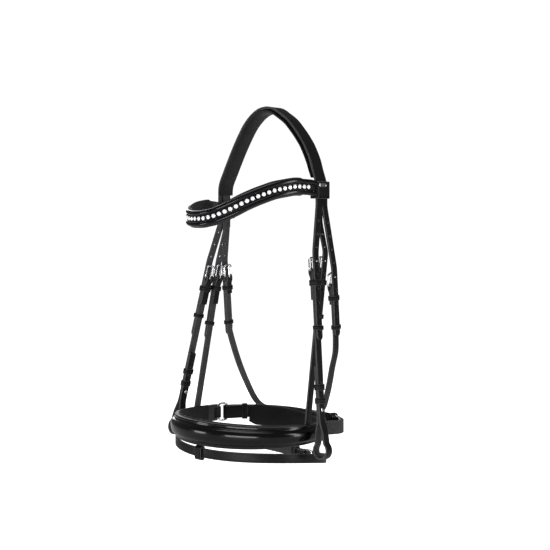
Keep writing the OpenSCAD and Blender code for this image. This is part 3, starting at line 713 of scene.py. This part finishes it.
sect, zone = cushion(BROW_H + 3, -5.6, -1.5)
pad_line = brow[6:-6]
k = np.arange(len(pad_line))
taper = np.minimum(1, 0.8 + np.minimum(k, k[::-1]) / 15)
brow_pad = sweep("browband_padding_soft", pad_line, (0, 0, 1), sect, [PADDING, PIPING], zone,
                 scale=np.column_stack([taper, taper]))
give(brow_pad, "browband", "browband_padding")

RIM = [(-3.5, 1.3), (-3.45, 1.9), (-3.1, 2.7), (-2.4, 3.6), (-1.3, 4.25), (0, 4.45), (1.3, 4.25),
       (2.4, 3.6), (3.1, 2.7), (3.45, 1.9), (3.5, 1.3)]
rims = [sweep("rim", brow, (0, 0, 1), [(u + s * (BROW_H / 2 - 3.6), v) for u, v in RIM],
              [GLOSSY]) for s in (-1, 1)]
give(join("browband_rolls", rims), "browband", "browband_rims")

bl = lengths(brow)
mid = bl[-1] / 2
reach = np.interp(CRYSTAL_END, brow_angles, bl) - mid
cups, stones = [], []
for i in range(CRYSTAL_N):
    s = mid + (i - (CRYSTAL_N - 1) / 2) * 2 * reach / (CRYSTAL_N - 1)
    p, t = along(brow, s)
    f = Frame(p, t, np.cross(t, [0, 0, 1]))
    r = CRYSTAL_D / 2
    cups.append(turned("cup", f, [(r - 0.3, 1.35), (r + 0.3, 1.5), (r + 0.42, 2.6),
                                  (r + 0.38, 3.3), (r + 0.12, 3.55), (r - 0.1, 3.4),
                                  (r - 0.2, 2.5), (0.3, 2.4)], [CUP], 18))
    stones.append(turned("stone", f, [(0.3, 2.45), (r - 0.5, 2.6), (r - 0.06, 3.35),
                                      (r - 0.1, 3.6), (r * 0.8, 4.25), (r * 0.52, 4.85),
                                      (0.05, 4.9)], [CRYSTAL], 8, sharp=6, spin=(i * 0.37) % 1))
give(join("crystal_settings", cups), "browband", "crystal_cups")
give(join("crystal_stones", stones), "browband", "crystals")

f = Frame((96.95, -4, -105.5), (0, 1, 0), (1, 0, 0))
P = [(5.5 + 2.5 * math.cos(g), 2.5 * math.sin(g))
     for g in np.linspace(-math.pi / 2, math.pi / 2, 12)]
P += [(-u, -v) for u, v in P]
V, F = [], []
PLATE = ((0.9, -0.3), (1.0, -0.1), (1.0, 1.0), (0.93, 1.35), (0.80, 1.4), (0.76, 1.15),
         (0.3, 1.15))
for k, z in PLATE:
    V += [f.at(u * (0.5 + 0.5 * k) if abs(k) < 1 else u, v * k, z) for u, v in P]
n = len(P)
m = len(PLATE) - 1
for i in range(m):
    F += [(i * n + k, i * n + (k + 1) % n, (i + 1) * n + (k + 1) % n, (i + 1) * n + k)
          for k in range(n)]
F += [tuple(range(n)), tuple(m * n + k for k in range(n))]
give(mesh("badge_plate", V, F, [STEEL]), "browband", "browband_badge")


# ---------- straps at each side ----------
def billet(name, f, top, y, w, t, length, node, mir, start):
    """One billet from the crown to its tip, which bends above the buckle."""
    b = f.at(FLEX_X - 1, 0, BILLET_Z)
    a = vec(top, y, start)
    pts = [vec(top, y, start + 12), a]
    pts += [a + (b - a) * k / 6 for k in range(1, 6)]
    pts += [b, f.at(FLEX_X + 6, 0, BILLET_Z), f.at(FLEX_X + 0.8 + length, 0, BILLET_Z)]
    p = eased(pts, 10, out=5.0)
    p = fine_end(resample(p, 4.0), w)
    g = np.clip(lengths(p) / np.linalg.norm(b - a), 0, 1)[:, None]
    up = vec(0, 1, 0) * (1 - g) + f.y * g
    sect, zone = strap_section(w, t)
    o = sweep(name, p, up, sect, STRAP_MATS, zone, scale=round_tip(p, w, least=0.002),
              mir=mir)
    total = lengths(p)[-1]
    peg = total - (FLEX_X + 0.8 + length - PEG_X)
    spots = []
    for k in range(-HOLES_UP, int((length + FLEX_X - PEG_X - 8) / HOLE_PITCH) + 1):
        if peg + k * HOLE_PITCH < 20:
            continue
        q, d = along(p, peg + k * HOLE_PITCH)
        spots.append((q, np.cross(d, f.y)))
    punch(o, spots, HOLE_D, mir=mir)
    metres(f.at(FLEX_X - 9, 0, BILLET_Z), mir)
    metres(f.at(FLEX_X + 3.5, 0, BILLET_Z), mir)
    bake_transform(o)
    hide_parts(node)


def fold_stitches(name, f, w, x0, x1, z, mir, body):
    """Two rows of stitches along a folded strap, from x0 to x1."""
    y = w / 2 - STITCH_IN
    lines = [([f.at(x0, s * y, z), f.at(x1, s * y, z)], f.z) for s in (-1, 1)]
    give(stitches(name, lines, mir), body)


def buckle(name, f, w, body, mir):
    """Frame and tongue of a side buckle."""
    give(buckle_frame(name + "_buckle", f, w, mir), body, name + "_frame")
    give(buckle_tongue(name + "_buckle_tongue", f, mir), name + "_tongue", name + "_tongue")


def slide_keeper(name, f, x, w, mir):
    """Running keeper round a billet and the strap below it."""
    give(keeper(name + "_slide_keeper", f, x, w, -STRAP_T / 2 - 0.3, OVER + 0.15, 6, KEEPER_WALL,
                mir), name + "_keeper", name + "_running_keeper")


for side in ("left", "right"):
    mir = side == "right"
    cheek, hanger, throat = side + "_cheek", side + "_hanger", side + "_throat"
    body, reach, slide_x = side + "_cheekpiece", REACH[side], SLIDE_X[side]

    # cheekpiece
    f, l = cheek_frame(side), cheek_length(side)
    path = fold_top() + [(l - 56, 0), (l - 48, 0.4), (l - 34, 4.2)]
    path += arc((l - BIT_LOOP_R, -1.4), BIT_LOOP_R, 140, -140, 22)
    path += [(l - 34, -7), (l - 48, PLY_Z - 0.4), (l - 56, PLY_Z), (l - 122, PLY_Z)]
    o = strap(cheek + "_leather", f.path(path), f.y, CHEEK_W, STRAP_T, mir=mir)
    cut_slot(o, f, mir=mir)
    punch(o, [(f.at(l - 64 - 12 * i, 0, -1.4), f.z) for i in range(4)], 2.6, mir=mir)
    give(o, body, cheek + "_strap")
    buckle(cheek, f, CHEEK_W, body, mir)
    parts = [keeper("k1", f, 17, CHEEK_W, UNDER, OVER, KEEPER_L, KEEPER_WALL, mir)]
    parts += [keeper("k2", f, x, CHEEK_W, UNDER, STRAP_T / 2 + 0.15, KEEPER_L, KEEPER_WALL, mir)
              for x in (l - 76, l - 94)]
    give(join(cheek + "_keepers", parts), body, cheek + "_fixed_keepers")
    slide_keeper(cheek, f, slide_x["cheek"], CHEEK_W, mir)
    stud = [(0.3, INSIDE - 2.5), (1.6, INSIDE - 2.45), (2.6, INSIDE - 2.0), (2.8, INSIDE - 1.4),
            (2.5, INSIDE - 0.75), (1.25, INSIDE - 0.6), (1.2, STRAP_T / 2 - 0.1),
            (2.45, STRAP_T / 2), (2.5, STRAP_T / 2 + 0.5), (1.9, STRAP_T / 2 + 0.85),
            (0.3, STRAP_T / 2 + 0.95)]
    give(turned(cheek + "_stud", f, stud, [STEEL], 20, mir, x=l - 64), body,
         cheek + "_hook_stud")
    fold_stitches(cheek + "_stitches", f, CHEEK_W, l - 120, l - 52, STRAP_T / 2, mir, body)
    billet(cheek + "_billet", f, LEG_X + CROWN_D, -6.35, 12.3, BILLET_T, reach["cheek"],
           cheek + "_billet_tip", mir, BILLET_TOP[side])

    # noseband hanger
    f, l = hanger_frame(side), hanger_length(side)
    o = strap(hanger + "_leather", f.path(fold_top() + [(60, 0), (l - 1, 0)]), f.y, HANGER_W,
              STRAP_T, mir=mir)
    cut_slot(o, f, mir=mir)
    give(o, "noseband", hanger + "_strap")
    buckle(hanger, f, HANGER_W, "noseband", mir)
    give(keeper(hanger + "_loop", f, 17, HANGER_W, UNDER, OVER, 7, KEEPER_WALL, mir),
         "noseband", hanger + "_fixed_keeper")
    slide_keeper(hanger, f, slide_x["hanger"], HANGER_W, mir)
    billet(hanger + "_billet", f, LEG_X + SLIP_D, 0, 11.5, SLIP_T, reach["hanger"],
           hanger + "_billet_tip", mir, SLIP_TOP[side])

    # throatlash buckle
    f = throat_frame(side)
    buckle(throat, f, THROAT_W, "throatlash", mir)
    slide_keeper(throat, f, slide_x["throat"], THROAT_W, mir)
    billet(throat + "_billet", f, LEG_X + CROWN_D, 6.35, 12.0, BILLET_T, reach["throat"],
           throat + "_billet_tip", mir, BILLET_TOP[side])

loops = [keeper("k", throat_frame(s), 17, THROAT_W, UNDER, OVER, 7, KEEPER_WALL, s == "right")
         for s in ("left", "right")]
give(join("throatlash_loops", loops), "throatlash", "throatlash_fixed_keepers")

# ---------- throatlash ----------
tl, tr = throat_frame("left"), throat_frame("right")
fold = fold_top(26)
P = list(tl.path(fold)) + [tl.at(x, 0, 0) for x in (26, 50, 58, 66, 74)]
P += [vec(97, 26, -340), vec(87, 32, -363), vec(72, 45, -390), vec(55, 60, -414),
      vec(37, 72.5, -436), vec(12, 74.5, -449.5), vec(-14, 73, -451)]
Q = list(tr.path(fold)) + [tr.at(x, 0, 0) for x in (26, 62, 70, 78, 86)]
Q += [vec(97, 35, -366), vec(90, 46, -399), vec(76, 54, -430), vec(60, 60, -441),
      vec(38, 68, -448)]
P += [q * [-1, 1, 1] for q in Q[::-1]]
n = len(fold)
P = P[:n] + list(smooth(P[n:-n], 2.5)) + P[-n:]
o = strap("throatlash_leather", P, (0, 1, 0), THROAT_W, STRAP_T, out=3.0)
cut_slot(o, tl)
cut_slot(o, tr, mir=True)
give(o, "throatlash", "throatlash_strap")


# ---------- noseband ----------
def ring_normal(a):
    """Outward direction of the noseband's ellipse at an angle from the front."""
    g = math.radians(a)
    return unit([math.sin(g) * NOSE_RY, -math.cos(g) * NOSE_RX, 0])


def ring_point(a, d=0.0, z=0.0):
    """Point of the noseband's ellipse, d outward of it."""
    g = math.radians(a)
    return vec(NOSE_RX * math.sin(g), NOSE_Y - NOSE_RY * math.cos(g), z) + ring_normal(a) * d


def nose_height(a):
    """Height of the nosepiece, which narrows towards its ends."""
    c = max(0.0, math.cos(math.radians(a * 0.9)))
    return NOSE_END_H + (NOSE_H - NOSE_END_H) * c ** 1.5


NA = np.linspace(-110, 110, 133)
NP = np.array([ring_point(a, 0, NOSE_BOTTOM + nose_height(a) / 2) for a in NA])
# Nosepiece section: (share of half the height, outward, material)
ROLL = [(-1, -2.9, 1), (-1, 1.5, 1), (-.985, 2.0, 1), (-.955, 2.3, 0), (-.9, 2.45, 0),
        (-.80, 2.45, 0), (-.74, 2.6, 0), (-.705, 3.4, 0), (-.665, 4.8, 0), (-.58, 6.2, 0),
        (-.46, 7.25, 0), (-.3, 7.95, 0), (-.1, 8.35, 0), (.1, 8.45, 0), (.26, 8.2, 0),
        (.38, 7.65, 0), (.48, 6.75, 0), (.56, 5.5, 0), (.605, 4.2, 0), (.64, 3.1, 0),
        (.68, 2.55, 0), (.84, 2.45, 0), (.93, 2.4, 0), (.97, 2.1, 1), (1, 1.5, 1), (1, -2.9, 2)]
V = []
for a in NA:
    e = min(1, 0.45 + (110 - abs(a)) / 16)
    e = e * e * (3 - 2 * e)
    V.append([(u * nose_height(a) / 2, v if v < 2.46 else 2.45 + (v - 2.45) * e)
              for u, v, _ in ROLL])
parts = [sweep("roll", NP, (0, 0, 1), np.array(V), [GLOSSY, EDGE, FLESH], [q[2] for q in ROLL])]
p0, p1 = ring_point(111.9), ring_point(112.9)
ring = Frame((p0[0], p0[1], NOSE_BOTTOM + NOSE_END_H / 2), (p1 - p0), (0, 0, 1))
for s in (False, True):
    tab = [(-15, 2.9), (-9, 3.2), (-4, 3.2)] + arc((0, 0), 2.75, 100, -100, 12)
    tab += [(-4, -3.0), (-9, -2.6), (-15, -2.2)]
    P = np.array([ring.at(u, -v, 0) for u, v in tab])
    o = strap("tab", P, (0, 0, 1), 17, 1.7, mir=s)
    parts.append(o)
give(join("nosepiece_leather", parts), "noseband", "nosepiece")
lines = []
for lift in (-1, 1):
    P = np.array([ring_point(a, 2.42, NOSE_BOTTOM + nose_height(a) / 2 * (1 + lift * 0.86))
                  for a in np.linspace(-104, 104, 160)])
    lines.append((P, np.array([ring_normal(a) for a in np.linspace(-104, 104, 160)])))
give(stitches("nosepiece_stitches", lines), "noseband")

V = []
PA = NA[(NA > -101) & (NA < 101)]
for a in PA:
    e = min(1, 0.5 + min(a + 101, 101 - a) / 28)
    q, z = cushion(nose_height(a) + 2.4 * e, -3.05 - 5.4 * e, -3.0)
    V.append(q)
nose_pad = sweep("nosepiece_padding_soft", [ring_point(a, 0, NOSE_BOTTOM + nose_height(a) / 2)
                                            for a in PA], (0, 0, 1), np.array(V),
                 [PADDING, PIPING], z)
give(nose_pad, "noseband", "nosepiece_padding")

for side in ("left", "right"):
    q = resample(rounded_box(13.0, 25.0, 3.4, 6), 1.2, True)
    o = tube(side + "_side_ring", [ring.at(6.5 + u, 0, 0) + vec(0, 0, v) for u, v in q], 1.8,
             [STEEL], closed=True, n=18, mir=side == "right")
    give(o, side + "_ring", side + "_nose_ring")

# ---------- jaw strap ----------
bar = ring.at(13.0)
bt, bn = ring.x, vec(ring.x[1], -ring.x[0], 0)
WRAP = [bar + 4.6 * (bn * math.sin(g) - bt * math.cos(g))
        for g in np.radians(np.arange(-90, 91, 20))]
JAW = Frame((88, 42, JAW_Z), (-.82, .57, 0), (.57, .82, 0))


def flat(p):
    """The point p at the jaw strap's level."""
    return vec(p[0], p[1], JAW_Z)


def other(ps):
    """The same points on the right side."""
    return [q * [-1, 1, 1] for q in ps]


P = other([ring_point(a, d) for a, d in ((136, -3), (130, -3.1), (125, -4.1))]) + other(WRAP)
P += other([ring_point(a, d) for a, d in ((125, 4.2), (130, 2.6), (136, .9), (142, .1))])
P += [ring_point(a) for a in range(212, 140, -4)]
P += [ring_point(a, d) for a, d in ((138, -.6), (131, -2.4), (125, -4.2))] + WRAP
P += list(smooth([vec(*q, 0) for q in ((WRAP[-1][0], WRAP[-1][1]), (102.5, 16), (106.3, 25))]
                 + [JAW.at(-18, 0, BILLET_Z)], 3)[1:])
P += [JAW.at(0, 0, BILLET_Z), JAW.at(30, 0, BILLET_Z)]
P = [flat(q) for q in P]
o = strap("jaw_leather", P, (0, 0, -1), JAW_W, STRAP_T, tip=True, both=True, out=2.6)
punch(o, [(JAW.at(PEG_X - HOLE_PITCH * k, 0, BILLET_Z), JAW.z) for k in (-1, 0)], HOLE_D,
      reach=2.4)
give(o, "noseband", "jaw_strap")
V = []
JA = np.linspace(138, 222, 57)
for a in JA:
    e = min(1, 0.35 + min(a - 138, 222 - a) / 11)
    e = e * e * (3 - 2 * e) * 0.85 + 0.15
    q, z = cushion(32 * (0.55 + 0.45 * e), -1.4 - 7 * e, -1.35, power=3.2)
    V.append(q)
jaw_pad = sweep("jaw_pad_soft", [ring_point(a, 0, JAW_Z - 4 - 10 * (222 - a) / 84) for a in JA],
                (0, 0, 1), np.array(V), [PADDING, PIPING], z)
give(jaw_pad, "noseband", "jaw_pad")
give(buckle_frame("jaw_buckle", JAW, JAW_W), "noseband", "jaw_frame")
give(buckle_tongue("jaw_buckle_tongue", JAW), "jaw_tongue", "jaw_tongue")
P = [JAW.at(u, 0, v) for u, v in [(24, PLY_Z), (12, PLY_Z), (5.5, BAR_Z - 2.3)]
     + arc((0, BAR_Z), STRAP_T / 2 + WIRE / 2 + .1, -90, -270, 12) + [(10, 0), (26, -.2)]]
P += [flat(ring_point(157, 6.7)), flat(ring_point(166, 3)), flat(ring_point(172, 2.9))]
chape = strap("chape", P, (0, 0, 1), JAW_W, STRAP_T)
cut_slot(chape, JAW)
g = Frame(flat(ring_point(134)), np.cross([0, 0, 1], ring_normal(134)), ring_normal(134))
give(join("jaw_loops", [chape, keeper("k", JAW, 17, JAW_W, PLY_Z - STRAP_T / 2 - .02,
                                      BILLET_Z + STRAP_T / 2 + .3, 7),
                        keeper("k", g, 0, JAW_W, -4.5, 3.1, 8, mir=True)]),
     "noseband", "jaw_keepers")


# ---------- flash ----------
def flash_point(a):
    """Place on the flash strap's ring, which hangs lower at the back."""
    p = ring_point(a, 0.6)
    g = math.radians(a)
    return vec(p[0], p[1], FLASH_Z + 18.3 * math.cos(g) - 3 * math.sin(g) - 5 * math.cos(2 * g))


p0, p1 = flash_point(FLASH_A), flash_point(FLASH_A + 1)
FL = Frame(p0, p1 - p0, ring_normal(FLASH_A))
LOOP = [(-144.7, -457.4), (-144.5, -460), (-144.4, -465), (-144.4, -470.6), (-145.4, -473.8),
        (-148, -474.8), (-150.6, -473.8), (-151.7, -470.6), (-151.7, -459), (-150.4, -457.1),
        (-146.3, -456.6)]
o = strap("flash_hanging_loop", [vec(0, y, z) for y, z in LOOP], (-1, 0, 0), 12, 1.6, passes=2)
give(o, "noseband", "flash_loop")
P = [FL.at(u, 0, v) for u, v in [(26, PLY_Z), (12, PLY_Z), (5.5, BAR_Z - 2.3)]
     + arc((0, BAR_Z), STRAP_T / 2 + WIRE / 2 + .1, -90, -270, 12) + [(9, 0), (17, -.9)]]
P += [flash_point(FLASH_A + 14 + i * 329 / 96) for i in range(97)]
P += [FL.at(u, 0, v) for u, v in ((-25, .2), (-18, BILLET_Z - .2), (0, BILLET_Z - .2),
                                  (34, BILLET_Z - .2))]
o = strap("flash_leather", P, (0, 0, 1), FLASH_W, 2.4, tip=True, out=3.0)
cut_slot(o, FL, top=1.45)
punch(o, [(FL.at(PEG_X + HOLE_PITCH * k, 0, BILLET_Z), FL.z) for k in (0, 2)], HOLE_D,
      reach=2.4)
give(o, "flash", "flash_strap")
give(buckle_frame("flash_buckle", FL, FLASH_W), "flash", "flash_frame")
give(buckle_tongue("flash_buckle_tongue", FL), "flash_tongue", "flash_tongue")
give(keeper("flash_loop_keeper", FL, 19, FLASH_W + 2, PLY_Z - STRAP_T / 2 - .9,
            BILLET_Z + STRAP_T / 2 + .4, 7), "flash", "flash_keeper")

# ---------- floor, light and camera ----------
bpy.ops.mesh.primitive_plane_add(size=30, location=(0, 0, -0.62))
floor = bpy.context.object
floor.name = "floor"
m = bpy.data.materials.new("pale_floor")
m.use_nodes = True
nt = m.node_tree
b = nt.nodes["Principled BSDF"]
b.inputs["Roughness"].default_value = 0.9
b.inputs["Emission Color"].default_value = (1, 1, 1, 1)
ray = nt.nodes.new("ShaderNodeLightPath")
nt.links.new(ray.outputs["Is Camera Ray"], b.inputs["Emission Strength"])
noise = nt.nodes.new("ShaderNodeTexNoise")
noise.inputs["Scale"].default_value = 3
ramp = nt.nodes.new("ShaderNodeValToRGB")
ramp.color_ramp.elements[0].color = (0.86, 0.86, 0.86, 1)
ramp.color_ramp.elements[1].color = (0.9, 0.9, 0.9, 1)
nt.links.new(noise.outputs["Fac"], ramp.inputs["Fac"])
nt.links.new(ramp.outputs["Color"], b.inputs["Base Color"])
floor.data.materials.append(m)

world = bpy.data.worlds.new("studio")
bpy.context.scene.world = world
world.use_nodes = True
nt = world.node_tree
nt.nodes.clear()
seen = nt.nodes.new("ShaderNodeBackground")
seen.inputs["Color"].default_value = (1, 1, 1, 1)
seen.inputs["Strength"].default_value = 1.05
lit = nt.nodes.new("ShaderNodeBackground")
lit.inputs["Color"].default_value = (1, 1, 1, 1)
lit.inputs["Strength"].default_value = 0.115
path = nt.nodes.new("ShaderNodeLightPath")
pick = nt.nodes.new("ShaderNodeMixShader")
out = nt.nodes.new("ShaderNodeOutputWorld")
nt.links.new(path.outputs["Is Camera Ray"], pick.inputs["Fac"])
nt.links.new(lit.outputs["Background"], pick.inputs[1])
nt.links.new(seen.outputs["Background"], pick.inputs[2])
nt.links.new(pick.outputs["Shader"], out.inputs["Surface"])


def area(name, place, aim, size, power):
    """Rectangular soft light at place, turned to aim."""
    light = bpy.data.lights.new(name, "AREA")
    light.shape = "RECTANGLE"
    light.size, light.size_y = size
    light.energy = power
    o = bpy.data.objects.new(name, light)
    bpy.context.scene.collection.objects.link(o)
    o.location = place
    o.rotation_euler = (Vector(aim) - Vector(place)).to_track_quat("-Z", "Y").to_euler()


area("front_softbox", (0.70, -1.44, -0.46), (0, -0.05, -0.42), (1.2, 0.24), 10)
area("far_softbox", (-0.85, -1.36, -0.40), (0, -0.05, -0.42), (0.5, 0.30), 4)
area("side_softbox", (1.7, 0.45, 0.1), (0, 0, -0.25), (0.35, 1.5), 12)
area("top_softbox", (0, -0.3, 1.3), (0, 0, -0.2), (1.2, 1.2), 10)
area("rear_softbox", (-1.2, 0.9, 0.2), (0, 0, -0.25), (0.6, 1.2), 7)

camera = bpy.data.objects.new("camera", bpy.data.cameras.new("camera"))
bpy.context.scene.collection.objects.link(camera)
camera.location = (0.9687, -1.1453, -0.151)
camera.rotation_euler = (math.radians(90), 0, math.radians(40))
camera.data.lens = 67.68
camera.data.sensor_width = 36
camera.data.shift_x = 0.0
camera.data.shift_y = -57 / 550
bpy.context.scene.camera = camera
bpy.context.scene.view_settings.view_transform = "Standard"
